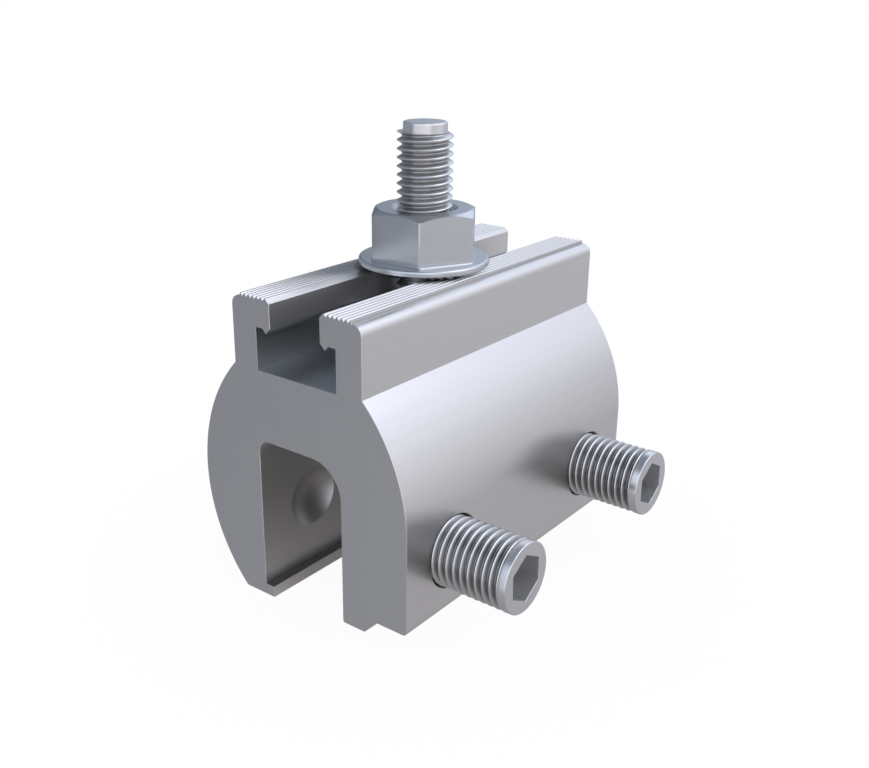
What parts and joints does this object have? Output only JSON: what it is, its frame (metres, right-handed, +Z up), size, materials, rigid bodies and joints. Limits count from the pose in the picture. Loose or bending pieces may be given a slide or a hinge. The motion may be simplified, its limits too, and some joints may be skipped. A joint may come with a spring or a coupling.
{
  "type": "standing seam clamp",
  "caption": "Extruded clamp that grips a standing roof seam with socket set screws and carries a sliding stud bolt with a flange nut.",
  "frame": {"origin": "middle of the flat ceiling of the seam slot, halfway along the body", "axes": "+X across the seam towards the set screws' sockets, +Y along the seam and away from the front set screw, +Z up along the stud"},
  "size_m": [0.0487, 0.0558, 0.0655],
  "materials": {
    "body_aluminium": "mill finish extrusion with fine lines along its length",
    "bolt_steel": "plain rolled thread",
    "nut_steel": "smooth plated",
    "screw_steel": "bright crests, dull grooves"
  },
  "bodies": {
    "body": {"clamp_body": "body_aluminium"},
    "bolt": {"channel_bolt": "bolt_steel"},
    "nut": {"flange_nut": "nut_steel"},
    "front_screw": {"set_screw_front": "screw_steel"},
    "rear_screw": {"set_screw_rear": "screw_steel"}
  },
  "joints": [
    {"name": "bolt_slide", "type": "slide", "parent": "body", "child": "bolt", "axis": [0, 1, 0], "range_m": [-0.0195, 0.0213]},
    {"name": "nut_feed", "type": "slide", "parent": "bolt", "child": "nut", "axis": [0, 0, 1], "range_m": [0, 0.0105]},
    {"name": "front_screw_feed", "type": "slide", "parent": "body", "child": "front_screw", "axis": [-1, 0, 0], "range_m": [-0.006, 0.0174]},
    {"name": "rear_screw_feed", "type": "slide", "parent": "body", "child": "rear_screw", "axis": [-1, 0, 0], "range_m": [-0.006, 0.0174]}
  ]
}
